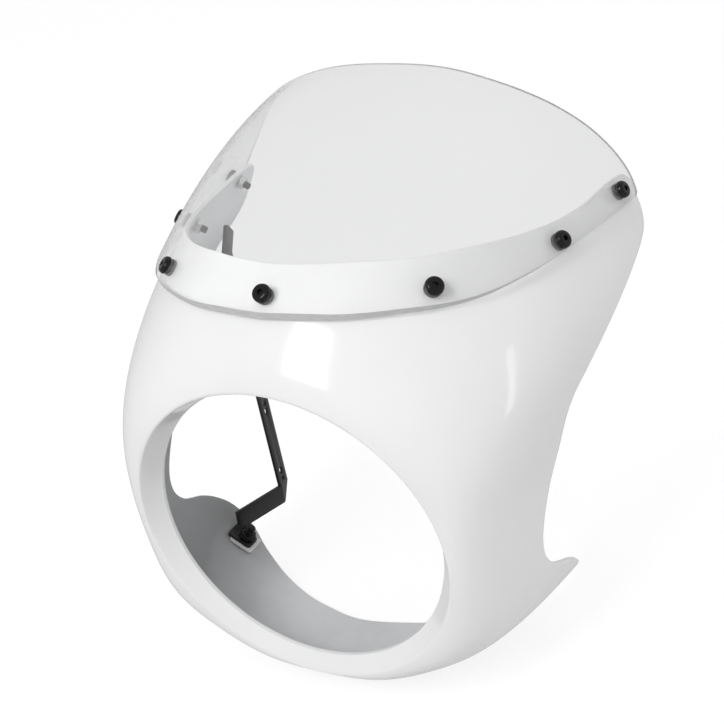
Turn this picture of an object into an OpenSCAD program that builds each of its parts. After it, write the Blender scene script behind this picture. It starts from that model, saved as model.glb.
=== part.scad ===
// Headlight cowl for a cafe racer: one moulded shell with a lamp opening,
// a clear bubble screen on seven screws, and a folded steel bracket on each side.
// X runs across the cowl, Y runs back along the lamp axis and Z is up.
// The origin is the centre of the lamp opening, at the back edge of its flange.

/* [Lamp opening] */
// Diameter of the lamp opening
lamp_d = 186; // [176:1:196]
// How far the lip stands in front of the opening
lip_depth = 15; // [12:0.5:18]
// How much further forward the top of the lip is than its middle
lip_tilt = 7; // [3:0.5:9]
// Width of the rolled lip, from the opening to its crest
lip_w = 7.7; // [6:0.1:9]
// How far the centre of the lip lies below the lamp axis
lip_drop = 2.6; // [0:0.1:4]

/* [Shell] */
// Wall thickness of the shell
wall = 3; // [2.5:0.1:3.5]
// Depth over which the shell reaches its full size
shell_run = 250; // [240:1:270]

/* [Screen] */
// Thickness of the clear screen
screen_t = 3; // [2.5:0.1:4]
// Gap between shell and screen, filled by the rubber spacers
screen_gap = 2.5; // [2:0.1:3.5]

/* [Screen fasteners] */
// Thread diameter of the screen screws
screw_d = 5; // [4:0.5:6]
// Diameter of the button heads
head_d = 11; // [9:0.5:12]
// Height of the button heads
head_h = 3.4; // [2.8:0.1:3.8]
// Length of the screws under the head
screw_len = 18; // [17:0.5:20]
// Width of the rubber spacers
spacer_d = 10; // [9:0.5:12]
// Width of the nuts across the flats
nut_w = 8; // [7:0.5:10]
// Height of the nuts
nut_h = 4; // [3:0.5:5]
// Width of the plain washers
washer_d = 10; // [9:0.5:12]
// Thickness of the plain washers
washer_t = 1; // [0.8:0.1:1.2]

/* [Brackets] */
// How far the lower end of each strap lies inside the bolt of its foot
strap_side = 8.7; // [8:0.1:9.5]
// How far the front edge of the strap lies behind the bolt
strap_back = 39.2; // [38:0.1:41]
// Width of the strap
strap_w = 10.5; // [9:0.5:12]
// Thickness of the bracket steel
steel_t = 2; // [1.5:0.1:2.5]
// How far the lower end of the strap lies above the middle of the foot
strap_lift = 5.6; // [4.5:0.1:6.5]
// Height where the strap turns in
strap_turn = 110.5; // [105:0.5:115]
// Height of the upper end of the strap
strap_top = 133.5; // [130:0.5:137]
// How far the strap leans out up to its turn
strap_lean = 7.5; // [6:0.5:9]
// How far the upper end turns in
strap_in = 7; // [5:0.5:9]
// How far the strap leans forward up to its upper end
strap_rake = 6; // [4:0.5:8]
// Diameter of the strap holes and width of the slots
hole_d = 3.4; // [3:0.1:4]
// Length of the slots, end to end
slot_l = 6; // [5:0.5:7]
// Distance between the two slots
slot_pitch = 49; // [46:0.5:52]
// Distance from each slot to its hole
hole_gap = 6.5; // [6:0.1:8]
// Thread diameter of the bracket bolts
bolt_d = 6; // [5:0.5:6]
// Length of the bracket bolts under the head
bolt_len = 18; // [17:0.5:20]

/* [Hidden] */

// Where the screen screws sit, from the centre back to the ear: angle around
// the lamp axis and depth. All but the first are also on the other side.
screw_places = [[90, 9], [59, 42], [47, 121], [44.7, 197]];

// The outer form has one rib every 20 degrees around the lamp axis, from
// straight up to straight down. Each rib has the width that the shell gains
// behind the lip, how soon it gains it, and how square its shoulder is.
rib_step = 20;
rib_gain = [118, 123, 98, 83, 35, 52.5, 70, 33.5, 26, 2];
rib_rush = [2.2, 2.0, 2.0, 1.9, 2.0, 1.9, 1.0, 2.6, 2.7, 2.8];
rib_bow = [0.70, 0.72, 0.64, 0.52, 0.39, 0.58, 0.34, 0.38, 0.34, 0.34];

// Edge of the shell from the top centre over the ear, down the fork cut-out,
// round the lower tab and to the bottom centre: angle on the lip, angle at
// the edge, and depth of the edge.
shell_edge = [
  [90, 90, 24], [76, 77, 31], [64, 65, 50], [54, 56.5, 82], [46, 51, 118],
  [39, 48, 158], [33, 47, 198], [28, 45.5, 219], [23, 40.5, 222], [18, 35.5, 212],
  [12, 31.5, 177], [6, 28, 140], [1, 24, 107], [-4, 19, 85.5], [-8, 11, 75],
  [-12, 4, 61], [-16, -2, 51], [-20, -8, 45], [-24, -13.5, 48.5], [-28, -18, 58],
  [-31.5, -20.5, 68.5], [-34.5, -22.5, 78], [-37.5, -26, 91], [-41, -30.5, 106],
  [-45, -35, 111], [-50, -40, 104], [-57, -47, 89], [-66, -58, 75],
  [-78, -74, 61], [-90, -90, 50]
];

// Screen from its centre to its rear corner: angle and depth of the lower
// edge, then angle and depth of the free edge.
screen_edge = [
  [90, 0, 90, 182.5], [79, 3, 80, 184.5], [70, 9.5, 73, 186.5], [62, 21.5, 67.5, 192.5],
  [55, 39, 61.5, 202.5], [50.3, 61, 56.5, 211], [46.8, 93.5, 52.5, 216], [44.6, 131, 49, 218.5],
  [43, 168.5, 46, 218.5], [42, 198, 43.5, 216], [41.8, 209, 42.2, 213]
];

// Angle and depth of the bracket bolts in the lower tabs
tab_bolt = [-41, 85];

lamp_r = lamp_d / 2;
crest_r = lamp_r + lip_w;
// Play of the screws in the shell and screen, in rings and in nuts.
clearance = 0.5;
slip = 0.3;
thread_play = 0.1;
// Gaps left where a flat face meets a curved one, outside and inside.
touch = 0.05;
seat = 0.3;
edge_steps = 3;
screen_steps = 4;
flange_steps = 2;
skin_rings = 13;
screen_rings = 11;
// Straight land of the opening behind the rolled lip, and the step in front of it.
land_w = 3;
land_step = 0.3;
// The inner skin starts this far behind the crest of the lip.
inner_start = 8;
pad_w = 18;
pad_t = 1.2;
pad_r = 2;
bolt_head_d = 11;
bolt_head_h = 3.4;
bolt_nut_w = 10;
bolt_nut_h = 5;
foot_w = 13;
foot_top = 12;
foot_low = 5;
foot_rear = 19;
arm_h = 14.5;
arm_len = 37.5;
arm_angle = 30;
arm_drop = 5.2;
foot_r = 3;
heel_r = 2;
// Sloping ends of the strap, and their flat tips.
low_cut = 13.5;
top_cut = 8;
tip_w = 2;
first_hole = 18;

// Reads a list that is mirrored past both of its ends.
function mirrored(list, i) =
  list[i < 0 ? -i : i > len(list) - 1 ? 2 * (len(list) - 1) - i : i];

// Smooth blend through a list of rib values at an angle between 90 and -90.
function rib(list, angle) =
  let (
    x = (90 - angle) / rib_step,
    i = min(floor(x), len(list) - 1),
    t = x - i
  )
  (
    pow(1 - t, 3) * mirrored(list, i - 1)
    + (3 * pow(t, 3) - 6 * t * t + 4) * mirrored(list, i)
    + (-3 * pow(t, 3) + 3 * t * t + 3 * t + 1) * mirrored(list, i + 1)
    + pow(t, 3) * mirrored(list, i + 2)
  ) / 6;

// The form is the same left and right, so any angle folds into one half.
function fold(angle) =
  angle > 90 ? 180 - angle : angle < -90 ? -180 - angle : angle;
function crest_y(angle) = -lip_depth - lip_tilt * sin(angle);
function crest_at(angle) = crest_r - lip_drop * sin(angle);

// Radius of the outer skin at an angle and a depth.
function skin_r(angle, y) =
  let (
    a = fold(angle),
    u = max(0, min(1, (y - crest_y(a)) / shell_run))
  )
  crest_at(a) + rib(rib_gain, a) * pow(1 - pow(1 - u, rib(rib_rush, a)), rib(rib_bow, a));
function skin(angle, y) =
  let (r = skin_r(angle, y))
  [r * cos(angle), y, r * sin(angle)];
function unit(v) = v / norm(v);

// Outward direction of the skin.
function outward(angle, y) =
  unit(cross(
    skin(angle, y + 0.4) - skin(angle, y - 0.4),
    skin(angle + 0.4, y) - skin(angle - 0.4, y)
  ));
function offset_skin(angle, y, distance) =
  skin(angle, y) + distance * outward(angle, y);

// Smooth curve through the rows of a table.
function row_between(a, b, c, d, t) =
  0.5 * (2 * b + (c - a) * t + (2 * a - 5 * b + 4 * c - d) * t * t
    + (3 * b - a - 3 * c + d) * pow(t, 3));

// Reads a shell edge row, mirrored past the centre plane at both ends.
function edge_row(i) =
  let (last = len(shell_edge) - 1)
  i < 0 ? [180 - shell_edge[-i][0], 180 - shell_edge[-i][1], shell_edge[-i][2]] :
  i > last ? [
    -180 - shell_edge[2 * last - i][0],
    -180 - shell_edge[2 * last - i][1],
    shell_edge[2 * last - i][2]
  ] : shell_edge[i];
function edge_at(x) =
  let (i = min(floor(x), len(shell_edge) - 2))
  row_between(edge_row(i - 1), edge_row(i), edge_row(i + 1), edge_row(i + 2), x - i);

// One column of shell points: from the crest back down the cone of the lip,
// round its land, along the inner skin to the edge and back on the outer skin.
// At share 0 of the cone is the crest and at share 1 the land.
function flange_point(angle, share, out) =
  let (
    rise = lamp_r + land_step - crest_at(angle),
    run = -land_w - crest_y(angle),
    slope = norm([rise, run]),
    r = crest_at(angle) + share * rise + out * run / slope,
    y = crest_y(angle) + share * run - out * rise / slope
  )
  [r * cos(angle), y, r * sin(angle)];
function ring_point(angle, r, y) = [r * cos(angle), y, r * sin(angle)];
function shell_column(row) =
  let (
    lip = row[0],
    edge = row[1],
    y_edge = row[2],
    y_lip = crest_y(lip),
    span = y_edge - y_lip,
    from = inner_start / span
  )
  concat(
    [for (i = [0:flange_steps]) flange_point(lip, i / flange_steps, 0)],
    [for (y = [-land_w, 0]) ring_point(lip, lamp_r - 1, y)],
    [ring_point(lip, lamp_r + land_step + wall, 0)],
    [for (share = [0.75, 0.4]) flange_point(lip, share, wall)],
    [
      for (i = [0:skin_rings - 3])
      let (
        s = from + (1 - from) * pow(i / (skin_rings - 3), 1.25),
        a = lip + (edge - lip) * s
      )
      offset_skin(a, y_lip + span * s, -wall)
    ],
    [
      for (i = [skin_rings:-1:1])
      let (
        s = pow(i / skin_rings, 1.8),
        a = lip + (edge - lip) * s
      )
      skin(a, crest_y(a) + (y_edge - crest_y(a)) * s)
    ]
  );
function mirror_x(points) = [for (p = points) [-p[0], p[1], p[2]]];

// Faces of a grid of columns. A tube closes around its columns.
function quad(a, b, c, d) = [[a, b, c], [a, c, d]];
function grid_faces(columns, rings, closed) =
  [
    for (i = [0:columns - (closed ? 1 : 2)])
    for (j = [0:rings - 1])
    let (
      k = (i + 1) % columns,
      m = (j + 1) % rings
    )
    each quad(i * rings + j, k * rings + j, k * rings + m, i * rings + m)
  ];
function cap_faces(start, rings, flip) =
  let (half = rings / 2)
  [
    for (j = [0:half - 2])
    each flip ?
      quad(start + j, start + j + 1, start + rings - 2 - j, start + rings - 1 - j) :
      quad(start + rings - 1 - j, start + rings - 2 - j, start + j + 1, start + j)
  ];

// Solid form of the shell before its holes are drilled.
module shell_body() {
  spans = len(shell_edge) - 1;
  right = [for (i = [0:spans * edge_steps]) shell_column(edge_at(i / edge_steps))];
  left = [for (i = [spans * edge_steps - 1:-1:1]) mirror_x(right[i])];
  columns = concat(right, left);
  rings = len(right[0]);
  polyhedron(
    points = [for (c = columns) each c],
    faces = grid_faces(len(columns), rings, true),
    convexity = 10
  );
}

// Puts children at a place on the skin, with Z pointing out of it.
// Place 0 is on the centre plane and a negative place is on the left side.
module on_skin(side, angle, y, distance) {
  n = outward(angle, y);
  p = offset_skin(angle, y, distance);
  mirror([side < 0 ? 1 : 0, 0, 0])
    translate(p)
    rotate([0, acos(n[2]), atan2(n[1], n[0])])
    children();
}
module at_screw(place, distance) {
  spot = screw_places[abs(place)];
  on_skin(place, spot[0], spot[1], distance)
    children();
}
module at_tab_bolt(side, distance) {
  on_skin(side, tab_bolt[0], tab_bolt[1], distance)
    children();
}

module cowl_shell() {
  color("white")
    difference() {
      shell_body();
      rotate([-90, 0, 0])
        translate([0, 0, -land_w])
        cylinder(h = land_w + 1, r = lamp_r, $fn = 120);
      for (place = [-3:3])
        at_screw(place, -2 * wall)
          cylinder(h = 3 * wall, d = screw_d + clearance, $fn = 32);
      for (side = [-1, 1])
        at_tab_bolt(side, -2 * wall)
          cylinder(h = 3 * wall, d = bolt_d + clearance, $fn = 32);
    }
}

// One column of screen points: along the inner face, then back outside.
function screen_row(i) =
  let (last = len(screen_edge) - 1)
  i < 0 ? [
    180 - screen_edge[-i][0], screen_edge[-i][1],
    180 - screen_edge[-i][2], screen_edge[-i][3]
  ] :
  i > last ? 2 * screen_edge[last] - screen_edge[last - 1] :
  screen_edge[i];
function screen_at(x) =
  let (i = min(floor(x), len(screen_edge) - 2))
  row_between(screen_row(i - 1), screen_row(i), screen_row(i + 1), screen_row(i + 2), x - i);
function screen_line(row, distance) =
  [
    for (i = [0:screen_rings])
    let (s = pow(i / screen_rings, 1.25))
    offset_skin(row[0] + (row[2] - row[0]) * s, row[1] + (row[3] - row[1]) * s, distance)
  ];
function reversed(list) = [for (i = [len(list) - 1:-1:0]) list[i]];
function screen_column(row) =
  concat(screen_line(row, screen_gap), reversed(screen_line(row, screen_gap + screen_t)));

module screen_body() {
  spans = len(screen_edge) - 1;
  right = [for (i = [0:spans * screen_steps]) screen_column(screen_at(i / screen_steps))];
  left = [for (i = [spans * screen_steps:-1:1]) mirror_x(right[i])];
  columns = concat(left, right);
  rings = len(right[0]);
  count = len(columns);
  polyhedron(
    points = [for (c = columns) each c],
    faces = concat(
      grid_faces(count, rings, false),
      cap_faces(0, rings, true),
      cap_faces((count - 1) * rings, rings, false)
    ),
    convexity = 10
  );
}

module windscreen() {
  color([0.88, 0.91, 0.92, 0.35])
    difference() {
      screen_body();
      for (place = [-3:3])
        at_screw(place, -wall)
          cylinder(h = 4 * wall, d = screw_d + clearance, $fn = 32);
    }
}

// Button head screw with a six-sided socket. Its seat is at Z = 0.
module button_screw(d, length, cap_d, cap_h) {
  cap_r = cap_d / 2;
  dome_r = (cap_r * cap_r + cap_h * cap_h) / (2 * cap_h);
  difference() {
    union() {
      intersection() {
        translate([0, 0, cap_h - dome_r])
          sphere(r = dome_r, $fn = 64);
        cylinder(h = cap_h, r = cap_r, $fn = 48);
      }
      translate([0, 0, -length])
        cylinder(h = length + cap_h / 2, d = d, $fn = 32);
    }
    translate([0, 0, cap_h * 0.35])
      cylinder(h = cap_h, d = d * 0.66, $fn = 6);
  }
}

module ring(outer_d, inner_d, height) {
  difference() {
    cylinder(h = height, d = outer_d, $fn = 48);
    translate([0, 0, -1])
      cylinder(h = height + 2, d = inner_d, $fn = 48);
  }
}

module hex_nut(width, bore_d, height) {
  difference() {
    cylinder(h = height, d = width / cos(30), $fn = 6);
    translate([0, 0, -1])
      cylinder(h = height + 2, d = bore_d, $fn = 48);
  }
}

module screen_screw(place) {
  color("black")
    at_screw(place, screen_gap + screen_t + touch)
      button_screw(screw_d, screw_len, head_d, head_h);
}

module screen_spacer(place) {
  color([0.1, 0.1, 0.1])
    at_screw(place, touch)
      ring(spacer_d, screw_d + slip, screen_gap - touch - seat);
}

module screen_washer(place) {
  color("silver")
    at_screw(place, -wall - seat - washer_t)
      ring(washer_d, screw_d + slip, washer_t);
}

module screen_nut(place) {
  color("silver")
    at_screw(place, -wall - seat - washer_t - nut_h)
      hex_nut(nut_w, screw_d + thread_play, nut_h);
}

// Frame of the bolted foot: its place inside the tab, the outward direction,
// the direction back along the tab and the direction up across it.
foot_out = outward(tab_bolt[0], tab_bolt[1]);
foot_back = unit([0, 1, 0] - foot_out[1] * foot_out);
foot_up = cross(foot_out, foot_back);

// A flat pad stands on its corners inside the hollow wall. This is how far
// its middle is then from the wall.
pad_turn = atan(pad_w / 2 / skin_r(tab_bolt[0], tab_bolt[1]));
pad_stand = touch + max([
  for (i = [-1, 1])
  for (j = [-1, 1])
  (offset_skin(tab_bolt[0], tab_bolt[1], -wall)
    - offset_skin(tab_bolt[0] + i * pad_turn, tab_bolt[1] + j * pad_w / 2, -wall)) * foot_out
]);
foot_depth = wall + pad_stand + pad_t + steel_t;
foot_base = offset_skin(tab_bolt[0], tab_bolt[1], -foot_depth);
module in_foot_frame() {
  multmatrix([
    [foot_back[0], foot_up[0], foot_out[0], foot_base[0]],
    [foot_back[1], foot_up[1], foot_out[1], foot_base[1]],
    [foot_back[2], foot_up[2], foot_out[2], foot_base[2]],
    [0, 0, 0, 1]
  ])
    children();
}

// Lower end of the front edge of the strap, which goes with the foot.
strap_x = foot_base[0] - strap_side;
strap_y = foot_base[1] + strap_back;
strap_low = foot_base[2] + strap_lift;

// Flat plate with rounded corners, standing on Z = 0.
module round_plate(x0, x1, y0, y1, r, height) {
  translate([x0 + r, y0, 0])
    cube([x1 - x0 - 2 * r, y1 - y0, height]);
  translate([x0, y0 + r, 0])
    cube([x1 - x0, y1 - y0 - 2 * r, height]);
  for (x = [x0 + r, x1 - r])
    for (y = [y0 + r, y1 - r])
      translate([x, y, 0])
        cylinder(h = height, r = r, $fn = 32);
}

// Bends of the strap seen from the front, as [x, z] points.
strap_path = [
  [strap_x, strap_low],
  [strap_x + strap_lean, strap_turn],
  [strap_x + strap_lean - strap_in, strap_top]
];

// Bent sheet that the strap is cut from.
module strap_sheet() {
  half = steel_t / 2;
  translate([0, strap_y + 2 * strap_w, 0])
    rotate([90, 0, 0])
    linear_extrude(4 * strap_w)
    union() {
      for (i = [0:len(strap_path) - 2]) {
        a = strap_path[i];
        b = strap_path[i + 1];
        side = half * unit([b[1] - a[1], a[0] - b[0]]);
        polygon([a - side, a + side, b + side, b - side]);
      }
      translate(strap_path[1])
        circle(d = steel_t, $fn = 24);
    }
}

// Depth of the front edge of the strap at a height.
function strap_front(z) =
  strap_y - strap_rake * (z - strap_low) / (strap_top - strap_low);

// Outline of the strap seen from the side, as [y, z] points.
module strap_outline() {
  top_rear = strap_top - top_cut;
  low_rear = strap_low + low_cut;
  translate([strap_x - 3 * steel_t, 0, 0])
    rotate([90, 0, 90])
    linear_extrude(strap_lean + 6 * steel_t)
    polygon([
      [strap_y, strap_low],
      [strap_y + tip_w, strap_low],
      [strap_front(low_rear) + strap_w, low_rear],
      [strap_front(top_rear) + strap_w, top_rear],
      [strap_front(strap_top) + tip_w, strap_top],
      [strap_front(strap_top), strap_top]
    ]);
}

// Round hole through the strap.
module strap_hole(z) {
  translate([strap_x - 3 * steel_t, strap_front(z) + strap_w / 2, z])
    rotate([0, 90, 0])
    cylinder(h = strap_lean + 6 * steel_t, d = hole_d, $fn = 32);
}

// Slot through the strap, with round ends.
module strap_slot(z) {
  reach = (slot_l - hole_d) / 2;
  translate([strap_x - 3 * steel_t, strap_front(z) + strap_w / 2, z])
    rotate([0, 90, 0])
    linear_extrude(strap_lean + 6 * steel_t)
    union() {
      for (side = [-1, 1])
        translate([side * reach, 0])
          circle(d = hole_d, $fn = 32);
      square([2 * reach, hole_d], center = true);
    }
}

// Upright plate from the front edge of the strap forward and down to the tab,
// cut off along the outer face of the foot.
module arm() {
  difference() {
    translate([strap_x, strap_y, strap_low])
      rotate([0, 0, arm_angle])
      translate([-steel_t / 2, 0, 0])
      rotate([90, 0, 90])
      linear_extrude(steel_t)
      polygon([
        [steel_t / 2, touch],
        [steel_t / 2, arm_h],
        [-arm_len, arm_h - arm_drop],
        [-arm_len, -arm_drop]
      ]);
    in_foot_frame()
      translate([-2 * arm_len, -2 * arm_len, steel_t])
      cube([4 * arm_len, 4 * arm_len, 4 * arm_h]);
  }
}

// Flat foot under the arm, in its own frame.
module foot() {
  round_plate(-foot_w / 2, foot_w / 2, -foot_w / 2, foot_top, foot_r, steel_t);
  round_plate(-foot_w / 2, foot_rear, foot_low, foot_top, heel_r, steel_t);
}

module bracket() {
  color([0.05, 0.05, 0.05])
    difference() {
      union() {
        intersection() {
          strap_sheet();
          strap_outline();
        }
        arm();
        in_foot_frame()
          foot();
      }
      for (side = [-1, 1]) {
        middle = strap_low + first_hole + hole_gap + slot_pitch / 2;
        strap_slot(middle + side * slot_pitch / 2);
        strap_hole(middle + side * (slot_pitch / 2 + hole_gap));
      }
      at_tab_bolt(1, -6 * wall)
        cylinder(h = 6 * wall, d = bolt_d + clearance, $fn = 32);
    }
}

module bracket_bolt(side) {
  color("black")
    at_tab_bolt(side, touch)
      button_screw(bolt_d, bolt_len, bolt_head_d, bolt_head_h);
}

// Pale pad between the foot and the tab.
module bracket_pad(side) {
  color([0.9, 0.9, 0.88])
    mirror([side < 0 ? 1 : 0, 0, 0])
    difference() {
      in_foot_frame()
        translate([0, 0, steel_t])
        round_plate(-pad_w / 2, pad_w / 2, -pad_w / 2, pad_w / 2, pad_r, pad_t);
      at_tab_bolt(1, -6 * wall)
        cylinder(h = 8 * wall, d = bolt_d + slip, $fn = 48);
    }
}

module bracket_nut(side) {
  color("black")
    at_tab_bolt(side, -foot_depth - bolt_nut_h)
      hex_nut(bolt_nut_w, bolt_d + thread_play, bolt_nut_h);
}

cowl_shell();
windscreen();
screen_screw(0);  // screw_centre
screen_screw(-1);  // screw_left_front
screen_screw(-2);  // screw_left_side
screen_screw(-3);  // screw_left_rear
screen_screw(1);  // screw_right_front
screen_screw(2);  // screw_right_side
screen_screw(3);  // screw_right_rear
screen_spacer(0);  // spacer_centre
screen_spacer(-1);  // spacer_left_front
screen_spacer(-2);  // spacer_left_side
screen_spacer(-3);  // spacer_left_rear
screen_spacer(1);  // spacer_right_front
screen_spacer(2);  // spacer_right_side
screen_spacer(3);  // spacer_right_rear
screen_washer(0);  // washer_centre
screen_washer(-1);  // washer_left_front
screen_washer(-2);  // washer_left_side
screen_washer(-3);  // washer_left_rear
screen_washer(1);  // washer_right_front
screen_washer(2);  // washer_right_side
screen_washer(3);  // washer_right_rear
screen_nut(0);  // nut_centre
screen_nut(-1);  // nut_left_front
screen_nut(-2);  // nut_left_side
screen_nut(-3);  // nut_left_rear
screen_nut(1);  // nut_right_front
screen_nut(2);  // nut_right_side
screen_nut(3);  // nut_right_rear
mirror([1, 0, 0]) bracket();  // bracket_left
bracket();  // bracket_right
bracket_bolt(-1);  // bracket_bolt_left
bracket_bolt(1);  // bracket_bolt_right
bracket_pad(-1);  // bracket_pad_left
bracket_pad(1);  // bracket_pad_right
bracket_nut(-1);  // bracket_nut_left
bracket_nut(1);  // bracket_nut_right
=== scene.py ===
"""Looks of the headlight cowl: gloss white shell, clear bubble screen, black
button screws on rubber spacers, zinc nuts, and folded black steel brackets.
Metres, with the lamp axis along Y, Z up and the origin in the lamp opening."""

import math

import bmesh
import bpy
import numpy as np
from mathutils import Matrix, Vector


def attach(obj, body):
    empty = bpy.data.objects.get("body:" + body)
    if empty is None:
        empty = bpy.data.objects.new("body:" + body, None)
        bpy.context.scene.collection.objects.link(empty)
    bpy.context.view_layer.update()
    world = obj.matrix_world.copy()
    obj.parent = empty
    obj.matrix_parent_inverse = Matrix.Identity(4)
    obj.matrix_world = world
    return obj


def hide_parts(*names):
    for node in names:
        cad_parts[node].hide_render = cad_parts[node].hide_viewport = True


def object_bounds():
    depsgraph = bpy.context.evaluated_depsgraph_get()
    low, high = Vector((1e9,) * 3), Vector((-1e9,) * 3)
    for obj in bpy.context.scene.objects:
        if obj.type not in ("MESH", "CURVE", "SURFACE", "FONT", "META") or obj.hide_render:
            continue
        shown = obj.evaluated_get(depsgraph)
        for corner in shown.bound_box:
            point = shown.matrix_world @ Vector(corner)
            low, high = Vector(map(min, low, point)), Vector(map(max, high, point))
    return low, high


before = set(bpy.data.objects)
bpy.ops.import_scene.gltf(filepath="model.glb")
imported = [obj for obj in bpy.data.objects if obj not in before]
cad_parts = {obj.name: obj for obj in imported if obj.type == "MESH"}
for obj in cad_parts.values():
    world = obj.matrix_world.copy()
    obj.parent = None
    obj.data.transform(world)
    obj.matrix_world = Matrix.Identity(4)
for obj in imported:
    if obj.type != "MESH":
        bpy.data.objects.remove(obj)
cad_box = [list(corner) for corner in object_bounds()]
MM = 0.001

# The form, in millimetres and degrees
LAMP_R = 93.0
LIP_DEPTH, LIP_TILT, LIP_W, LIP_DROP = 15.0, 7.0, 7.7, 2.6
SHELL_RUN, WALL, LAND, STEP = 250.0, 3.0, 3.0, 0.3
GAP, SCREEN_T = 2.5, 3.0
# For each rib, from straight up to straight down: the width that the shell gains behind the
# lip, how soon it gains it, and how square its shoulder is.
RIB_GAIN = [118, 123, 98, 83, 35, 52.5, 70, 33.5, 26, 2]
RIB_RUSH = [2.2, 2.0, 2.0, 1.9, 2.0, 1.9, 1.0, 2.6, 2.7, 2.8]
RIB_BOW = [0.70, 0.72, 0.64, 0.52, 0.39, 0.58, 0.34, 0.38, 0.34, 0.34]
# Angle on the lip, angle at the edge, and depth of the edge.
SHELL_EDGE = [
    [90, 90, 24], [76, 77, 31], [64, 65, 50], [54, 56.5, 82], [46, 51, 118],
    [39, 48, 158], [33, 47, 198], [28, 45.5, 219], [23, 40.5, 222], [18, 35.5, 212],
    [12, 31.5, 177], [6, 28, 140], [1, 24, 107], [-4, 19, 86.5], [-8, 11, 77],
    [-12, 4, 64], [-16, -2, 54.5], [-20, -8, 49], [-24, -13.5, 50.5], [-28, -18, 59.5],
    [-31.5, -20.5, 71], [-34.5, -22.5, 82], [-37.5, -26, 95], [-41, -30.5, 105.5],
    [-45, -35.5, 108.5], [-50, -41, 103], [-57, -48, 89.5], [-66, -58, 75],
    [-78, -74, 61], [-90, -90, 50],
]
# Angle and depth of the lower edge, then angle and depth of the free edge.
SCREEN_EDGE = [
    [90, 0, 90, 182.5], [79, 3, 80, 184.5], [70, 9.5, 73, 186.5], [62, 21.5, 67.5, 192.5],
    [55, 39, 61.5, 202.5], [50.3, 61, 56.5, 211], [46.8, 93.5, 52.5, 216], [44.6, 131, 49, 218.5],
    [43, 168.5, 46, 218.5], [42, 198, 43.5, 216], [41.8, 209, 42.2, 213],
]
# Angle and depth of the screws, from the centre back, and of the bolt in the tab.
SCREW_PLACES = [(90, 9), (59, 42), (47, 121), (44.7, 197)]
TAB_BOLT = (-41, 85)
RIB_STEP = 20  # degrees from one rib to the next
NEAR = 0.4  # degrees and millimetres to each side, for the direction of the skin

# Fasteners, in millimetres
SCREW_D, HEAD_D, HEAD_H, SCREW_LEN = 5.0, 11.0, 3.4, 18.0
SPACER_D, RING_BORE = 10.0, 5.3
WASHER_D, WASHER_T, NUT_W, NUT_H = 10.0, 1.0, 8.0, 4.0
BOLT_D, BOLT_LEN, BOLT_NUT_W, BOLT_NUT_H = 6.0, 18.0, 10.0, 5.0
SCREW_PITCH, BOLT_PITCH, THREAD_PLAY = 0.8, 1.0, 0.1
TOUCH, SEAT, CLEARANCE = 0.05, 0.3, 0.5
RUBBER_BULGE, BROKEN_EDGE = 0.12, 0.25
NAMES = ["centre", "front", "side", "rear"]

SEGMENTS = 48  # sides of everything round
SHARP = 35  # degrees: edges that turn more stay sharp


def rib_value(values, i):
    """Values of ribs, from a list that is mirrored past both of its ends."""
    last = len(values) - 1
    i = np.abs(i)
    return np.asarray(values, float)[np.where(i > last, 2 * last - i, i)]


def rib(values, angle):
    """Smooth blend through a list of rib values, at angles between 90 and -90."""
    x = (90 - angle) / RIB_STEP
    i = np.minimum(np.floor(x).astype(int), len(values) - 1)
    t = x - i
    return (
        (1 - t) ** 3 * rib_value(values, i - 1)
        + (3 * t**3 - 6 * t * t + 4) * rib_value(values, i)
        + (-3 * t**3 + 3 * t * t + 3 * t + 1) * rib_value(values, i + 1)
        + t**3 * rib_value(values, i + 2)
    ) / 6


def fold(angle):
    """The form is the same left and right, so any angle folds into one half."""
    angle = np.where(angle > 90, 180 - angle, angle)
    return np.where(angle < -90, -180 - angle, angle)


def crest_y(angle):
    """Depth of the crest of the lip."""
    return -LIP_DEPTH - LIP_TILT * np.sin(np.radians(angle))


def crest_at(angle):
    """Radius of the crest of the lip."""
    return LAMP_R + LIP_W - LIP_DROP * np.sin(np.radians(angle))


def skin(angle, y):
    """Points of the outer skin, in millimetres, at angles and depths."""
    angle, y = np.broadcast_arrays(np.asarray(angle, float), np.asarray(y, float))
    a = fold(angle)
    u = np.clip((y - crest_y(a)) / SHELL_RUN, 0, 1)
    r = crest_at(a) + rib(RIB_GAIN, a) * (1 - (1 - u) ** rib(RIB_RUSH, a)) ** rib(RIB_BOW, a)
    rad = np.radians(angle)
    return np.stack([r * np.cos(rad), y, r * np.sin(rad)], -1)


def outward(angle, y):
    """Outward direction of the skin."""
    n = np.cross(
        skin(angle, y + NEAR) - skin(angle, y - NEAR),
        skin(angle + NEAR, y) - skin(angle - NEAR, y),
    )
    return n / np.linalg.norm(n, axis=-1, keepdims=True)


def offset_skin(angle, y, distance):
    """Points at a distance outside the skin."""
    angle, y = np.broadcast_arrays(np.asarray(angle, float), np.asarray(y, float))
    return skin(angle, y) + distance * outward(angle, y)


def smooth_rows(rows, steps, before, after):
    """Catmull-Rom rows between the given ones; before and after lie past the ends."""
    p = np.array([before] + rows + [after], float)
    out = []
    for i in range(1, len(p) - 2):
        a, b, c, d = p[i - 1 : i + 3]
        for k in range(steps):
            t = k / steps
            out.append(
                0.5 * (2 * b + (c - a) * t + (2 * a - 5 * b + 4 * c - d) * t * t
                       + (3 * b - a - 3 * c + d) * t**3)
            )
    out.append(p[-2])
    return np.array(out)


# Mesh tools
def mesh_object(name, verts, faces, material):
    """A smooth piece of one material, on the root body and in a slot."""
    me = bpy.data.meshes.new(name)
    me.from_pydata([tuple(v) for v in verts], [], [tuple(f) for f in faces])
    me.validate()
    ob = bpy.data.objects.new(name, me)
    bpy.context.scene.collection.objects.link(ob)
    me.materials.append(material)
    me.shade_smooth()
    me.set_sharp_from_angle(angle=math.radians(SHARP))
    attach(ob, "root")
    return ob


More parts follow.
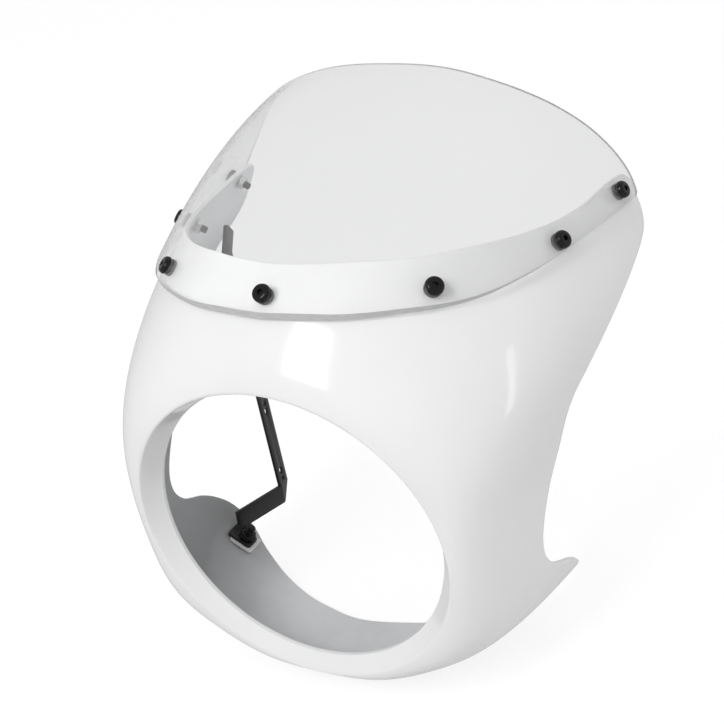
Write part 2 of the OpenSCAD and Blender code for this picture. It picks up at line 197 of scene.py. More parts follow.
def grid_faces(columns, rings, closed):
    """Quads of a grid of columns, closed around its rings."""
    faces = []
    for i in range(columns if closed else columns - 1):
        k = (i + 1) % columns
        for j in range(rings):
            m = (j + 1) % rings
            faces.append((i * rings + j, k * rings + j, k * rings + m, i * rings + m))
    return faces


def rounded_edge(inner, outer, along, radius, steps=3):
    """Points that round a wall's edge from its inner face to its outer one."""
    across = outer - inner
    t = np.linalg.norm(across)
    n = across / t
    pts = []
    for k in range(steps + 1):
        a = math.pi / 2 * k / steps
        pts.append(inner + n * radius * (1 - math.cos(a)) - along * radius * (1 - math.sin(a)))
    for k in range(steps + 1):
        a = math.pi / 2 * k / steps
        pts.append(outer - n * radius * (1 - math.sin(a)) - along * radius * (1 - math.cos(a)))
    return pts


# Materials
def new_material(name):
    """A material with its node tree, its Principled shader and its coordinates."""
    m = bpy.data.materials.new(name)
    m.use_nodes = True
    nt = m.node_tree
    nt.nodes.clear()
    out = nt.nodes.new("ShaderNodeOutputMaterial")
    bsdf = nt.nodes.new("ShaderNodeBsdfPrincipled")
    nt.links.new(bsdf.outputs[0], out.inputs[0])
    coord = nt.nodes.new("ShaderNodeTexCoord")
    return m, nt, bsdf, coord


def noise(nt, coord, scale, detail=4.0, rough=0.5, stretch=None):
    """Noise in the object's own coordinates, which may be stretched."""
    n = nt.nodes.new("ShaderNodeTexNoise")
    n.inputs["Scale"].default_value = scale
    n.inputs["Detail"].default_value = detail
    n.inputs["Roughness"].default_value = rough
    source = coord.outputs["Object"]
    if stretch:
        mp = nt.nodes.new("ShaderNodeMapping")
        mp.inputs["Scale"].default_value = stretch
        nt.links.new(source, mp.inputs["Vector"])
        source = mp.outputs["Vector"]
    nt.links.new(source, n.inputs["Vector"])
    return n


def ramp(nt, source, stops):
    """Colours blended between stops of a position and a colour."""
    r = nt.nodes.new("ShaderNodeValToRGB")
    r.color_ramp.elements[0].position = stops[0][0]
    r.color_ramp.elements[0].color = stops[0][1]
    r.color_ramp.elements[1].position = stops[-1][0]
    r.color_ramp.elements[1].color = stops[-1][1]
    for p, c in stops[1:-1]:
        r.color_ramp.elements.new(p).color = c
    nt.links.new(source, r.inputs[0])
    return r


def spread(nt, source, low, high):
    """A value from 0 to 1, spread over a range."""
    m = nt.nodes.new("ShaderNodeMapRange")
    m.inputs["To Min"].default_value = low
    m.inputs["To Max"].default_value = high
    nt.links.new(source, m.inputs["Value"])
    return m


def bump(nt, source, bsdf, strength, distance):
    """Fine relief that follows a value."""
    b = nt.nodes.new("ShaderNodeBump")
    b.inputs["Strength"].default_value = strength
    b.inputs["Distance"].default_value = distance
    nt.links.new(source, b.inputs["Height"])
    nt.links.new(b.outputs[0], bsdf.inputs["Normal"])


def math_node(nt, operation, a, b):
    """One operation on two values, each a number or a node's output."""
    n = nt.nodes.new("ShaderNodeMath")
    n.operation = operation
    for i, v in enumerate((a, b)):
        if isinstance(v, (int, float)):
            n.inputs[i].default_value = v
        else:
            nt.links.new(v, n.inputs[i])
    return n.outputs[0]


def grey(v, tint=(1, 1, 1)):
    """An opaque colour of a shade, which may be tinted."""
    return (v * tint[0], v * tint[1], v * tint[2], 1)


def shell_material():
    """The shell's outer face: gloss white with a faint orange peel."""
    m, nt, b, c = new_material("gloss_white_shell")
    tone = noise(nt, c, 14, 3)
    stops = [(0.3, grey(0.845, (1, 1, 1.005))), (0.7, grey(0.875))]
    col = ramp(nt, tone.outputs["Fac"], stops)
    nt.links.new(col.outputs[0], b.inputs["Base Color"])
    haze = noise(nt, c, 60, 5, 0.6)
    nt.links.new(spread(nt, haze.outputs["Fac"], 0.10, 0.17).outputs[0], b.inputs["Roughness"])
    peel = noise(nt, c, 420, 2, 0.4)
    bump(nt, peel.outputs["Fac"], b, 0.05, 0.0002)
    b.inputs["IOR"].default_value = 1.5
    b.inputs["Coat Weight"].default_value = 0.35
    b.inputs["Coat Roughness"].default_value = 0.04
    return m


# Heights in metres and shades: painted shade on the inner face, darker at mid height where it
# lies in shade, and lighter towards both openings, where light falls in.
PAINTED_SHADE_BY_HEIGHT = [
    (-0.112, 0.70), (-0.100, 0.54), (-0.078, 0.30), (-0.050, 0.34),
    (0.03, 0.40), (0.08, 0.48), (0.10, 0.72), (0.115, 0.88),
]


def inside_material():
    """The shell's inner face: grey, with painted shade that is darker at mid height and lighter
    towards both openings, where light falls in.
    """
    m, nt, b, c = new_material("satin_inside_painted_shade")
    cut = nt.nodes.new("ShaderNodeSeparateXYZ")
    nt.links.new(c.outputs["Object"], cut.inputs[0])
    # Noise wobbles the height at which the painted shade changes.
    shade_wobble = noise(nt, c, 35, 6, 0.65)
    shift = spread(nt, shade_wobble.outputs["Fac"], -0.006, 0.006)
    height = math_node(nt, "ADD", cut.outputs["Z"], shift.outputs[0])
    low, high = PAINTED_SHADE_BY_HEIGHT[0][0], PAINTED_SHADE_BY_HEIGHT[-1][0]
    share = nt.nodes.new("ShaderNodeMapRange")
    share.inputs["From Min"].default_value = low
    share.inputs["From Max"].default_value = high
    nt.links.new(height, share.inputs["Value"])
    stops = [((z - low) / (high - low), grey(v, (0.985, 0.995, 1.015))) for z, v in PAINTED_SHADE_BY_HEIGHT]
    col = ramp(nt, share.outputs[0], stops)
    nt.links.new(col.outputs[0], b.inputs["Base Color"])
    haze = noise(nt, c, 80, 4, 0.6)
    nt.links.new(spread(nt, haze.outputs["Fac"], 0.32, 0.46).outputs[0], b.inputs["Roughness"])
    grain = noise(nt, c, 650, 3, 0.6)
    bump(nt, grain.outputs["Fac"], b, 0.12, 0.0002)
    return m


def screen_material():
    """Clear acrylic. Shadow rays pass through it dimmed."""
    m, nt, b, c = new_material("clear_acrylic")
    tone = noise(nt, c, 9, 2)
    stops = [(0.3, (0.937, 0.939, 0.941, 1)), (0.7, (0.950, 0.951, 0.953, 1))]
    col = ramp(nt, tone.outputs["Fac"], stops)
    nt.links.new(col.outputs[0], b.inputs["Base Color"])
    haze = noise(nt, c, 45, 4, 0.6)
    nt.links.new(spread(nt, haze.outputs["Fac"], 0.0, 0.03).outputs[0], b.inputs["Roughness"])
    b.inputs["Transmission Weight"].default_value = 0.97
    b.inputs["IOR"].default_value = 1.49
    path = nt.nodes.new("ShaderNodeLightPath")
    clear = nt.nodes.new("ShaderNodeBsdfTransparent")
    clear.inputs["Color"].default_value = (0.72, 0.72, 0.72, 1)
    mix = nt.nodes.new("ShaderNodeMixShader")
    out = next(n for n in nt.nodes if n.type == "OUTPUT_MATERIAL")
    nt.links.new(path.outputs["Is Shadow Ray"], mix.inputs[0])
    nt.links.new(b.outputs[0], mix.inputs[1])
    nt.links.new(clear.outputs[0], mix.inputs[2])
    nt.links.new(mix.outputs[0], out.inputs[0])
    return m


def edge_material():
    """The screen's sawn edge: matt grey, with saw marks across it."""
    m, nt, b, c = new_material("sawn_acrylic_edge")
    marks = noise(nt, c, 220, 4, 0.6, stretch=(1, 1, 5))
    col = ramp(nt, marks.outputs["Fac"], [(0.3, grey(0.46)), (0.7, grey(0.56))])
    nt.links.new(col.outputs[0], b.inputs["Base Color"])
    nt.links.new(spread(nt, marks.outputs["Fac"], 0.12, 0.3).outputs[0], b.inputs["Roughness"])
    bump(nt, marks.outputs["Fac"], b, 0.12, 0.0002)
    return m


def grained_material(
    name, low, high, rough, scale, metallic, strength, tint=(1, 1, 1), specular=0.5
):
    """Small parts: a shade that varies a little, over a fine grain."""
    m, nt, b, c = new_material(name)
    tone = noise(nt, c, scale, 5, 0.6)
    col = ramp(nt, tone.outputs["Fac"], [(0.3, grey(low, tint)), (0.7, grey(high, tint))])
    nt.links.new(col.outputs[0], b.inputs["Base Color"])
    haze = noise(nt, c, scale * 2.3, 4, 0.7)
    nt.links.new(spread(nt, haze.outputs["Fac"], *rough).outputs[0], b.inputs["Roughness"])
    grain = noise(nt, c, scale * 6, 3, 0.6)
    bump(nt, grain.outputs["Fac"], b, strength, 0.0001)
    b.inputs["Metallic"].default_value = metallic
    b.inputs["Specular IOR Level"].default_value = specular
    return m


SHELL = shell_material()
INSIDE = inside_material()
SCREEN = screen_material()
SAWN = edge_material()
OXIDE = grained_material(
    "black_oxide_steel", 0.003, 0.007, (0.03, 0.08), 300, 0.0, 0.06, specular=0.3
)
ZINC = grained_material("bright_zinc", 0.58, 0.72, (0.16, 0.34), 260, 1.0, 0.2, (1, 1, 1.02))
POWDER = grained_material("black_powder_coat", 0.008, 0.014, (0.27, 0.38), 500, 0.0, 0.45)
RUBBER = grained_material("black_rubber", 0.045, 0.075, (0.5, 0.7), 350, 0.0, 0.5)
NYLON = grained_material(
    "pale_nylon", 0.70, 0.78, (0.35, 0.5), 120, 0.0, 0.2, (1, 0.995, 0.97)
)


# The shell, in millimetres and shares
LIP_ROUND, EDGE_ROUND, ROUND_STEPS = 1.3, 0.7, 6
CONE_FRONT, CONE_BACK = (0.3, 0.5, 0.7, 0.9), (0.75, 0.4)  # shares of the cone of the lip
CONE_END = 0.2  # how far the last point of the cone lies from the land
# Corners of the land: how far they lie outside the bore, and their depth.
LAND_CORNERS = [(0.05, -LAND + 0.15), (0, -LAND + 0.5), (0, -0.35), (0.1, -0.1), (0.35, 0)]
INNER_START, INNER_POINTS, OUTER_POINTS = 8.0, 26, 44
INNER_CROWD, OUTER_CROWD = 1.25, 1.8  # how much the points crowd towards the lip
FLANGE_BACK = 3  # rings behind the flange that belong to the inner face
SHELL_STEPS, SCREEN_STEPS = 9, 10  # columns from one row of an edge to the next
SHELL_SHARP = 40  # degrees, instead of SHARP


def shell_column(row):
    """One section: lip, land, inner face, edge and outer face, and where the inner part lies."""
    lip, edge, y_edge = row
    y_lip = float(crest_y(lip))
    span = y_edge - y_lip
    r0 = LAMP_R + STEP
    crest = float(crest_at(lip))
    rad = math.radians(lip)
    radial = np.array([math.cos(rad), 0, math.sin(rad)])

    def at(r, y):
        return radial * r + np.array([0, y, 0])

    # The cone of the lip, from its rolled front edge down to the land of the opening.
    front = at(crest, y_lip)
    land = at(r0, -LAND)
    down = (land - front) / np.linalg.norm(land - front)
    pts = []
    for k in range(ROUND_STEPS + 1):
        t = k / ROUND_STEPS
        pts.append(front + radial * LIP_ROUND * (1 - t) ** 2 + down * LIP_ROUND * t * t)
    pts += [front + (land - front) * t for t in CONE_FRONT]
    pts.append(land - down * CONE_END)
    pts += [at(LAMP_R + out, y) for out, y in LAND_CORNERS]
    pts.append(at(r0 + WALL, 0))
    back = np.array([down[1] * radial[0], -np.dot(down, radial), down[1] * radial[2]]) * WALL
    pts += [front + (land - front) * t + back for t in CONE_BACK]
    first_inner = len(pts)
    start = INNER_START / span
    share = np.arange(INNER_POINTS) / (INNER_POINTS - 1)
    s = start + (1 - start) * share**INNER_CROWD
    inner = offset_skin(lip + (edge - lip) * s, y_lip + span * s, -WALL)
    s = (np.arange(OUTER_POINTS, 0, -1) / OUTER_POINTS) ** OUTER_CROWD
    a = lip + (edge - lip) * s
    y0 = crest_y(fold(a))
    outer = skin(a, y0 + (y_edge - y0) * s)
    along = outer[0] - outer[1]
    along /= np.linalg.norm(along)
    pts += list(inner[:-1])
    last_inner = len(pts)
    pts += rounded_edge(inner[-1], outer[0], along, EDGE_ROUND)
    pts += list(outer[1:])
    return np.array(pts), first_inner, last_inner


HOLE_SIDES = [(0, 1)] + [(i, s) for i in (1, 2, 3) for s in (1, -1)]
SCREW_HOLES = [(s, *SCREW_PLACES[i], SCREW_D + CLEARANCE) for i, s in HOLE_SIDES]
BOLT_HOLES = [(s, *TAB_BOLT, BOLT_D + CLEARANCE) for s in (1, -1)]
DRILL_DEPTH = 16


def drill(ob, holes, sharp=SHARP):
    """Turns the faces outward and cuts round holes of a side, a place and a width."""
    bm = bmesh.new()
    bm.from_mesh(ob.data)
    bmesh.ops.recalc_face_normals(bm, faces=bm.faces)
    if bm.calc_volume(signed=True) < 0:
        bmesh.ops.reverse_faces(bm, faces=bm.faces)
    bm.to_mesh(ob.data)
    bm.free()
    cut = bmesh.new()
    for side, a, y, width in holes:
        bmesh.ops.create_cone(
            cut, cap_ends=True, segments=SEGMENTS, radius1=width / 2, radius2=width / 2,
            depth=DRILL_DEPTH, matrix=place_matrix(side, a, y, 0),
        )
    me = bpy.data.meshes.new("cutter")
    cut.to_mesh(me)
    cut.free()
    cutter = bpy.data.objects.new("cutter", me)
    bpy.context.scene.collection.objects.link(cutter)
    mod = ob.modifiers.new("holes", "BOOLEAN")
    mod.operation = "DIFFERENCE"
    mod.solver = "EXACT"
    mod.object = cutter
    graph = bpy.context.evaluated_depsgraph_get()
    done = bpy.data.meshes.new_from_object(ob.evaluated_get(graph))
    ob.modifiers.clear()
    ob.data = done
    bpy.data.objects.remove(cutter)
    done.shade_smooth()
    done.set_sharp_from_angle(angle=math.radians(sharp))


def build_shell():
    first, last = SHELL_EDGE[1], SHELL_EDGE[-2]
    rows = smooth_rows(
        SHELL_EDGE, SHELL_STEPS,
        [180 - first[0], 180 - first[1], first[2]],
        [-180 - last[0], -180 - last[1], last[2]],
    )
    right = [shell_column(r)[0] for r in rows]
    first_inner, last_inner = shell_column(rows[0])[1:]
    left = [c * [-1, 1, 1] for c in right[-2:0:-1]]
    cols = right + left
    rings = len(cols[0])
    verts = np.clip(np.concatenate(cols) * MM, cad_box[0], cad_box[1])
    faces = grid_faces(len(cols), rings, True)
    ob = mesh_object("shell_skin", verts, faces, SHELL)
    ob.data.materials.append(INSIDE)
    for i, face in enumerate(ob.data.polygons):
        face.material_index = int(first_inner - FLANGE_BACK <= i % rings <= last_inner)
    drill(ob, SCREW_HOLES + BOLT_HOLES, SHELL_SHARP)
    return ob


# The screen, in millimetres and shares
BEVEL, LARGEST_BEVEL = 1.9, 0.2  # the second is a share of the section
BEVEL_LEFT = 0.22  # share of the thickness that the bevel leaves
TOP_ROUND, SCREEN_CROWD = 0.45, 1.15
SCREEN_POINTS, TOP_STEPS, LOW_STEPS = 40, 2, 4
TOP_EDGE = range(SCREEN_POINTS - 1, SCREEN_POINTS + 2 * TOP_STEPS)  # rings of the sawn top


def screen_column(row):
    """One section: inner face, sawn top edge, outer face, bevelled lower edge."""
    low, y_low, high, y_high = row
    share = (np.arange(SCREEN_POINTS + 1) / SCREEN_POINTS) ** SCREEN_CROWD

    def at(s, distance):
        return offset_skin(low + (high - low) * s, y_low + (y_high - y_low) * s, distance)

    inner = at(share, GAP)
    length = np.linalg.norm(np.diff(inner, axis=0), axis=1).sum()
    cut = min(BEVEL / length, LARGEST_BEVEL)
    outer = at(cut + (1 - cut) * share, GAP + SCREEN_T)
    corner = at(np.zeros(1), GAP + SCREEN_T)[0]
    top = inner[-1] - inner[-2]
    top /= max(np.linalg.norm(top), 1e-9)
    nose = inner[0] + (corner - inner[0]) * BEVEL_LEFT
    pts = list(inner[1:-1])
    pts += rounded_edge(inner[-1], outer[-1], top, TOP_ROUND, TOP_STEPS)
    pts += list(outer[-2::-1])
    pts += [(outer[0] + nose) / 2, nose, (nose + inner[0]) / 2, inner[0]]
    return np.array(pts)


def build_screen():
    first = SCREEN_EDGE[1]
    end = np.array(SCREEN_EDGE[-1]) * 2 - np.array(SCREEN_EDGE[-2])
    before = [180 - first[0], first[1], 180 - first[2], first[3]]
    rows = smooth_rows(SCREEN_EDGE, SCREEN_STEPS, before, list(end))
    right = [screen_column(r) for r in rows]
    left = [c * [-1, 1, 1] for c in right[:0:-1]]
    cols = left + right
    rings = len(cols[0])
    verts = np.clip(np.concatenate(cols) * MM, cad_box[0], cad_box[1])
    faces = grid_faces(len(cols), rings, False)
    for start, flip in ((0, False), ((len(cols) - 1) * rings, True)):
        loop = [start + j for j in range(rings)]
        faces.append(tuple(loop if not flip else loop[::-1]))
    ob = mesh_object("screen_bubble", verts, faces, SCREEN)
    ob.data.materials.append(SAWN)
    low_edge = range(rings - 1 - LOW_STEPS, rings - 1)
    for i, face in enumerate(ob.data.polygons):
        cap = i >= len(faces) - 2
        face.material_index = int(cap or i % rings in low_edge or i % rings in TOP_EDGE)
    drill(ob, SCREW_HOLES)
    return ob


# Fasteners
# Thread: its depth in pitches, how steep its grooves are, and the rings in one pitch.
THREAD_DEPTH, GROOVE_SLOPE, PITCH_RINGS = 0.55, 1.25, 8
# Shank: its narrower tip, the first groove above it, the plain neck and the last groove.
TIP_CHAMFER, FIRST_GROOVE, NECK, LAST_GROOVE = 0.9, 0.5, 1.2, 1.6
# How the grooves fade in from the tip and out at the neck, and how the shank tapers.
FADE_IN, FADE_OUT, FADE_LEFT = 1.2, 0.8, 0.2
TAPER, TAPER_LENGTH, CREST_CUT = 0.35, 1.0, 0.02
# Head: its broken lower edge and its rim, then its flat top as a share and its dome.
RIM_BREAK, RIM_LOW, RIM_HIGH = 0.15, 0.12, 0.45
FLAT_TOP, DOME_BOW, DOME_STEPS = 0.56, 0.85, 8
# Socket: its width as a share of the thread, its mouth, and its floor in shares.
SOCKET_W, MOUTH_GROW, MOUTH_TOP, MOUTH_LOW = 0.6, 0.28, 0.02, 0.3
SOCKET_FLOOR, POINT_R, POINT_FLOOR = 0.42, 0.36, 0.40
# Nut: its face and where its chamfer starts as shares, then the chamfer and the bore's mouth.
NUT_FACE, CHAMFER_FROM, CHAMFER_SLOPE = 0.96, 0.98, 0.7
CHAMFER_LEAST, NUT_MOUTH = 0.02, 0.25
# Rings: how much their edges are broken, and the steps across the outer face.
RING_EDGE, BULGE_STEPS = 0.15, 6
# Degrees that the screws and nuts are turned, so that those of the screen all differ.
SCREW_TURN, CENTRE_TURN, NUT_TURN, TAB_BOLT_TURN, TAB_NUT_TURN = 17, 11, 23, 9, 14


def hex_r(width, a):
    """Radius of a hexagon of a width across flats, at an angle in radians."""
    step = math.pi / 3
    return width / 2 / math.cos((a + step / 2) % step - step / 2)


def round_ring(r, z):
    turns = [2 * math.pi * k / SEGMENTS for k in range(SEGMENTS)]
    return [(r * math.cos(a), r * math.sin(a), z) for a in turns]


def hex_ring(width, z, grow=0.0):
    out = []
    for k in range(SEGMENTS):
        a = 2 * math.pi * k / SEGMENTS
        r = hex_r(width, a) + grow
        out.append((r * math.cos(a), r * math.sin(a), z))
    return out


def lathe(rings):
    """Vertices and faces of a closed form of rings of points, capped at both ends."""
    verts = [p for ring in rings for p in ring]
    faces = []
    for i in range(len(rings) - 1):
        for k in range(SEGMENTS):
            m = (k + 1) % SEGMENTS
            a, b = i * SEGMENTS, (i + 1) * SEGMENTS
            faces.append((a + k, a + m, b + m, b + k))
    faces.append(tuple(range(SEGMENTS))[::-1])
    faces.append(tuple((len(rings) - 1) * SEGMENTS + k for k in range(SEGMENTS)))
    return verts, faces


def looped(rings, flip=False):
    """Vertices and faces of a form whose rings close on themselves, as a ring or a nut does."""
    verts = [p for ring in rings for p in ring]
    faces = []
    for i in range(len(rings)):
        a, b = i * SEGMENTS, (i + 1) % len(rings) * SEGMENTS
        for k in range(SEGMENTS):
            m = (k + 1) % SEGMENTS
            faces.append((a + k, b + k, b + m, a + m) if flip else (a + k, a + m, b + m, b + k))
    return verts, faces


def thread_rings(d, length, pitch):
    """A threaded shank, from its tip up to the plain neck under the head."""
    tip = -length
    depth = THREAD_DEPTH * pitch
    rings = [round_ring(d / 2 - TIP_CHAMFER, tip)]
    z = tip + FIRST_GROOVE
    while z < -LAST_GROOVE:
        fade = min(1, (z - tip) / FADE_IN, (-NECK - z) / FADE_OUT + FADE_LEFT)
        taper = max(0, TAPER * (1 - (z - tip) / TAPER_LENGTH))
        ring = []
        for k in range(SEGMENTS):
            a = 2 * math.pi * k / SEGMENTS
            phase = (z / pitch - k / SEGMENTS) % 1.0
            tri = 1 - abs(2 * phase - 1)
            groove = depth * (1 - min(1, tri * GROOVE_SLOPE)) * max(0, fade)
            r = d / 2 - CREST_CUT - groove - taper
            ring.append((r * math.cos(a), r * math.sin(a), z))
        rings.append(ring)
        z += pitch / PITCH_RINGS
    return rings + [round_ring(d / 2, -NECK), round_ring(d / 2, 0)]


def head_rings(d, head_d, head_h):
    """A button head, from its seat over its dome and down into the socket."""
    head_r = head_d / 2
    rings = [round_ring(head_r - RIM_BREAK, 0)]
    rings += [round_ring(head_r, z) for z in (RIM_LOW, RIM_HIGH)]
    flat = FLAT_TOP * head_r
    for k in range(1, DOME_STEPS + 1):
        a = math.pi / 2 * k / DOME_STEPS
        r = flat + (head_r - flat) * math.cos(a) ** DOME_BOW
        rings.append(round_ring(r, RIM_HIGH + (head_h - RIM_HIGH) * math.sin(a)))
    socket = d * SOCKET_W
    rings.append(hex_ring(socket, head_h - MOUTH_TOP, MOUTH_GROW))
    rings.append(hex_ring(socket, head_h - MOUTH_LOW))
    rings.append(hex_ring(socket, head_h * SOCKET_FLOOR))
    rings.append(round_ring(socket * POINT_R, head_h * POINT_FLOOR))
    return rings


def button_bolt(d, length, head_d, head_h, pitch):
    """A button head screw with a socket and a thread. Its seat is at Z = 0."""
    return lathe(thread_rings(d, length, pitch) + head_rings(d, head_d, head_h))


def hex_nut(width, bore, height):
    """A nut standing on Z = 0, with the corners chamfered on both faces."""
    face_r, mouth_r = width / 2 * NUT_FACE, bore / 2 + NUT_MOUTH
    top = [round_ring(mouth_r, height), round_ring(face_r, height)]
    # The chamfer cuts the corners back to a round face.
    cut = []
    for face_z, inward in ((height, -1), (0, 1)):
        ring = []
        for x, y, _ in hex_ring(width, face_z):
            over = max(0.0, math.hypot(x, y) - width / 2 * CHAMFER_FROM)
            ring.append((x, y, face_z + inward * over * CHAMFER_SLOPE + inward * CHAMFER_LEAST))
        cut.append(ring)
    bottom = [round_ring(face_r, 0), round_ring(mouth_r, 0)]
    bore_top, bore_low = (round_ring(bore / 2, z) for z in (height - NUT_MOUTH, NUT_MOUTH))
    return looped([bore_top] + top + cut + bottom + [bore_low], flip=True)


def sleeve(outer, inner, height, bulge=0.0):
    """A ring with softened edges, bulged a little when it is rubber."""
    R, r, edge = outer / 2, inner / 2, RING_EDGE
    prof = [(r, edge), (r, height - edge), (r + edge, height), (R - edge, height)]
    for k in range(BULGE_STEPS + 1):
        t = k / BULGE_STEPS
        prof.append((R + bulge * math.sin(math.pi * t), height - edge - (height - 2 * edge) * t))
    prof += [(R - edge, 0), (r + edge, 0)]
    return looped([round_ring(a, b) for a, b in prof])


def place_matrix(side, angle, y, distance):
    """Where a fastener sits on the skin, with its Z axis pointing out of it."""
    n = outward(np.float64(angle), np.float64(y))
    p = offset_skin(angle, y, distance)
    flip = np.array([-1, 1, 1]) if side < 0 else np.ones(3)
    n, p = n * flip, p * flip
    quat = Vector(n).to_track_quat("Z", "Y")
    return Matrix.Translation(Vector(p * MM)) @ quat.to_matrix().to_4x4() @ Matrix.Scale(MM, 4)


def placed(name, shape, matrix, material, node, turn=0.0):
    """Puts a fastener in its place, turned about its own axis, instead of its node."""
    verts, faces = shape
    spin = Matrix.Rotation(math.radians(turn), 4, "Z")
    verts = [matrix @ (spin @ Vector(v)) for v in verts]
    ob = mesh_object(name, verts, faces, material)
    bm = bmesh.new()
    bm.from_mesh(ob.data)
    bmesh.ops.recalc_face_normals(bm, faces=bm.faces)
    bm.to_mesh(ob.data)
    bm.free()
    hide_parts(node)
    return ob


def build_screen_fasteners():
    washer_at = -WALL - SEAT - WASHER_T
    for place in range(-3, 4):
        a, y = SCREW_PLACES[abs(place)]
        side = -1 if place < 0 else 1
        hand = "" if place == 0 else "left_" if place < 0 else "right_"
        name = hand + NAMES[abs(place)]
        turn = SCREW_TURN * place + CENTRE_TURN

        def at(distance):
            return place_matrix(side, a, y, distance)

        placed("button_" + name, button_bolt(SCREW_D, SCREW_LEN, HEAD_D, HEAD_H, SCREW_PITCH),
               at(GAP + SCREEN_T + TOUCH), OXIDE, "screw_" + name, turn)
        placed("rubber_" + name, sleeve(SPACER_D, RING_BORE, GAP - TOUCH - SEAT, RUBBER_BULGE),
               at(TOUCH), RUBBER, "spacer_" + name)
        placed("plain_washer_" + name, sleeve(WASHER_D, RING_BORE, WASHER_T),
               at(washer_at), ZINC, "washer_" + name)
        placed("hex_nut_" + name, hex_nut(NUT_W, SCREW_D + THREAD_PLAY, NUT_H),
               at(washer_at - NUT_H), ZINC, "nut_" + name, NUT_TURN * place)


# Brackets
WELD, FLAT_ANGLE = 1e-6, 1.0  # metres and degrees


def softened(node, name, material):
    """A copy of a node with its edges broken, as bending and coating leave them."""
    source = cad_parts[node]
    me = source.data.copy()
    me.name = name
    ob = bpy.data.objects.new(name, me)
    bpy.context.scene.collection.objects.link(ob)
    bm = bmesh.new()
    bm.from_mesh(me)
    bmesh.ops.remove_doubles(bm, verts=bm.verts, dist=WELD)
    bmesh.ops.dissolve_limit(
        bm, angle_limit=math.radians(FLAT_ANGLE), verts=bm.verts, edges=bm.edges
    )
    bm.to_mesh(me)
    bm.free()
    bev = ob.modifiers.new("edges", "BEVEL")
    bev.width = BROKEN_EDGE * MM
    bev.segments = 2
    bev.limit_method = "ANGLE"
    bev.angle_limit = math.radians(SHARP)
    graph = bpy.context.evaluated_depsgraph_get()
    done = bpy.data.meshes.new_from_object(ob.evaluated_get(graph))
    ob.modifiers.clear()
    ob.data = done
    done.name = name
    done.materials.clear()
    done.materials.append(material)
    done.shade_smooth()
    done.set_sharp_from_angle(angle=math.radians(SHARP))
    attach(ob, "root")
    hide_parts(node)
    return ob


def build_brackets():
    a, y = TAB_BOLT
    depth = nut_depth("bracket_nut_right", a, y)
    for side, name in ((-1, "left"), (1, "right")):
        softened("bracket_" + name, "strap_" + name, POWDER)
        softened("bracket_pad_" + name, "nylon_pad_" + name, NYLON)
        placed("tab_bolt_" + name, button_bolt(BOLT_D, BOLT_LEN, HEAD_D, HEAD_H, BOLT_PITCH),
               place_matrix(side, a, y, TOUCH), OXIDE,
               "bracket_bolt_" + name, TAB_BOLT_TURN)
        placed("tab_nut_" + name, hex_nut(BOLT_NUT_W, BOLT_D + THREAD_PLAY, BOLT_NUT_H),
               place_matrix(side, a, y, depth), OXIDE,
               "bracket_nut_" + name, TAB_NUT_TURN)


def nut_depth(node, a, y):
    """Lowest distance of a node along the outward direction of its place."""
    n = outward(np.float64(a), np.float64(y))
    p = skin(a, y)
    co = np.array([v.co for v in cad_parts[node].data.vertices]) / MM
    return float(((co - p) @ n).min())


shell = build_shell()
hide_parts("cowl_shell")
screen = build_screen()
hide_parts("windscreen")
build_screen_fasteners()
build_brackets()


# The studio
THROUGH = 0.85  # how bright the white surroundings are behind the screen
MIRRORED = 0.6  # and in reflections
FLOOR_WHITE, FLOOR_FLAT = 1.24, 0.65  # the floor's own white for the camera, and its share


def by_ray(nt, path, camera, through, mirrored):
    """A value for each kind of ray that shows the background, and 0 for all others."""
    total = math_node(nt, "MULTIPLY", path.outputs["Is Camera Ray"], camera)
    for kind, value in (("Is Transmission Ray", through), ("Is Glossy Ray", mirrored)):
        part = math_node(nt, "MULTIPLY", path.outputs[kind], value)
        total = math_node(nt, "MAXIMUM", total, part)
    return total


def stage_material(name, shade):
    """Plain pale floor, seen as white with a share of its own shading, for the shadow."""
    m, nt, b, c = new_material(name)
    b.inputs["Base Color"].default_value = grey(shade)
    b.inputs["Roughness"].default_value = 0.9
    glow = nt.nodes.new("ShaderNodeEmission")
    glow.inputs["Color"].default_value = grey(1.0)
    path = nt.nodes.new("ShaderNodeLightPath")
    nt.links.new(by_ray(nt, path, FLOOR_WHITE, THROUGH, MIRRORED), glow.inputs["Strength"])
    mix = nt.nodes.new("ShaderNodeMixShader")
    nt.links.new(by_ray(nt, path, FLOOR_FLAT, 1.0, 1.0), mix.inputs[0])
    nt.links.new(b.outputs[0], mix.inputs[1])
    nt.links.new(glow.outputs[0], mix.inputs[2])
    out = next(n for n in nt.nodes if n.type == "OUTPUT_MATERIAL")
    nt.links.new(mix.outputs[0], out.inputs[0])
    return m


def flat_piece(name, corners, material):
    me = bpy.data.meshes.new(name)
    me.from_pydata(corners, [], [tuple(range(len(corners)))])
    ob = bpy.data.objects.new(name, me)
    bpy.context.scene.collection.objects.link(ob)
    me.materials.append(material)
    return ob


FLOOR_DROP, FLOOR_HALF, FLOOR_SHADE = 0.002, 4, 0.7  # metres, metres and grey
FLOOR_Z = cad_box[0][2] - FLOOR_DROP
CORNERS = [(-1, -1), (1, -1), (1, 1), (-1, 1)]
flat_piece("floor", [(x * FLOOR_HALF, y * FLOOR_HALF, FLOOR_Z) for x, y in CORNERS],
           stage_material("pale_floor", FLOOR_SHADE))


def area_light(name, place, target, size, power):
    data = bpy.data.lights.new(name, "AREA")
    data.shape = "RECTANGLE"
    data.size, data.size_y = size
    data.energy = power
    ob = bpy.data.objects.new(name, data)
    bpy.context.scene.collection.objects.link(ob)
    ob.location = place
    ob.rotation_euler = (Vector(target) - Vector(place)).to_track_quat("-Z", "Y").to_euler()
    return ob


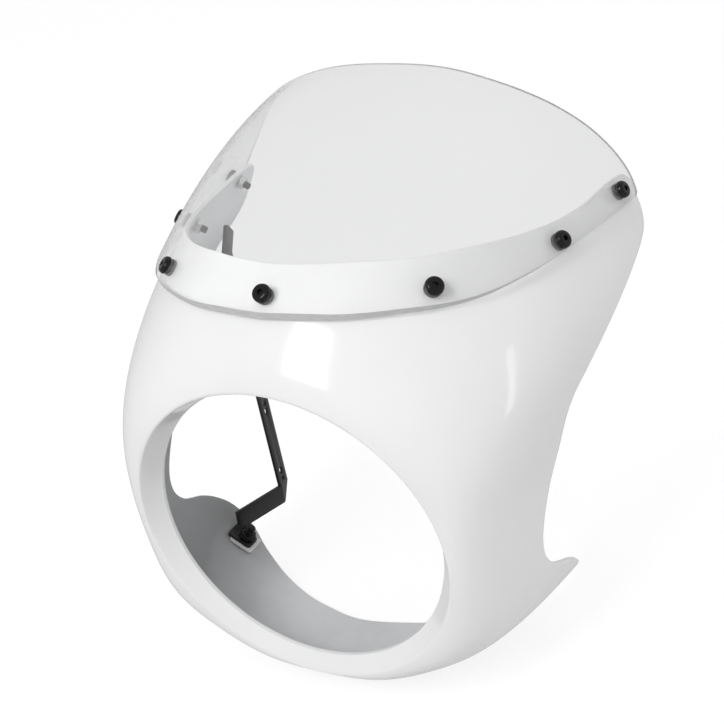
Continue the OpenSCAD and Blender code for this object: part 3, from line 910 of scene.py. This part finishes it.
# The softbox and the strip stand where the photo's two highlights on the shell point to.
area_light("softbox", place=(-0.276, -1.471, 1.444), target=(0.03, -0.005, 0.12),
           size=(0.57, 1.0), power=17)
area_light("strip", place=(2.0, 0.5, 0.25), target=(0.12, 0.04, 0.09),
           size=(0.12, 0.95), power=0.9)

# Light from all around, stronger from above and from the right. The camera sees white.
WORLD_BASE = 0.475
WORLD_SIDES = [((0, 0, 1), 0.27), ((1, 0, 0), 0.29)]


def white_background(nt):
    node = nt.nodes.new("ShaderNodeBackground")
    node.inputs["Color"].default_value = (1, 1, 1, 1)
    return node


def build_world():
    """What lights the part, and the plain white that cameras, screen and gloss show instead."""
    world = bpy.data.worlds.new("studio")
    bpy.context.scene.world = world
    world.use_nodes = True
    nt = world.node_tree
    nt.nodes.clear()
    out = nt.nodes.new("ShaderNodeOutputWorld")
    seen = white_background(nt)
    lit = white_background(nt)
    direction = nt.nodes.new("ShaderNodeTexCoord").outputs["Generated"]
    total = WORLD_BASE
    for toward, weight in WORLD_SIDES:
        dot = nt.nodes.new("ShaderNodeVectorMath")
        dot.operation = "DOT_PRODUCT"
        nt.links.new(direction, dot.inputs[0])
        dot.inputs[1].default_value = toward
        part = math_node(nt, "MAXIMUM", dot.outputs["Value"], 0.0)
        part = math_node(nt, "MULTIPLY", part, weight)
        total = math_node(nt, "ADD", total, part)
    nt.links.new(total, lit.inputs["Strength"])
    path = nt.nodes.new("ShaderNodeLightPath")
    nt.links.new(by_ray(nt, path, 1.0, THROUGH, MIRRORED), seen.inputs["Strength"])
    mix = nt.nodes.new("ShaderNodeMixShader")
    nt.links.new(by_ray(nt, path, 1.0, 1.0, 1.0), mix.inputs[0])
    nt.links.new(lit.outputs[0], mix.inputs[1])
    nt.links.new(seen.outputs[0], mix.inputs[2])
    nt.links.new(mix.outputs[0], out.inputs[0])


build_world()

# The camera, fitted to the photo: its place, and where its right, down and view point
FOCAL, PICTURE, SENSOR = 1330, 724, 36  # pixels, pixels and millimetres
EYE = (0.37119, -0.54035, 0.43151)
RIGHT = (0.88942, 0.43759, -0.13208)
DOWN = (0.09648, -0.46218, -0.88152)
VIEW = (-0.44679, 0.77130, -0.45329)


def build_camera():
    data = bpy.data.cameras.new("camera")
    data.sensor_width = SENSOR
    data.lens = FOCAL / PICTURE * SENSOR
    cam = bpy.data.objects.new("camera", data)
    bpy.context.scene.collection.objects.link(cam)
    rows = [(r, -d, -v, e) for r, d, v, e in zip(RIGHT, DOWN, VIEW, EYE)]
    cam.matrix_world = Matrix(rows + [(0, 0, 0, 1)])
    bpy.context.scene.camera = cam
    bpy.context.scene.view_settings.view_transform = "Standard"


build_camera()
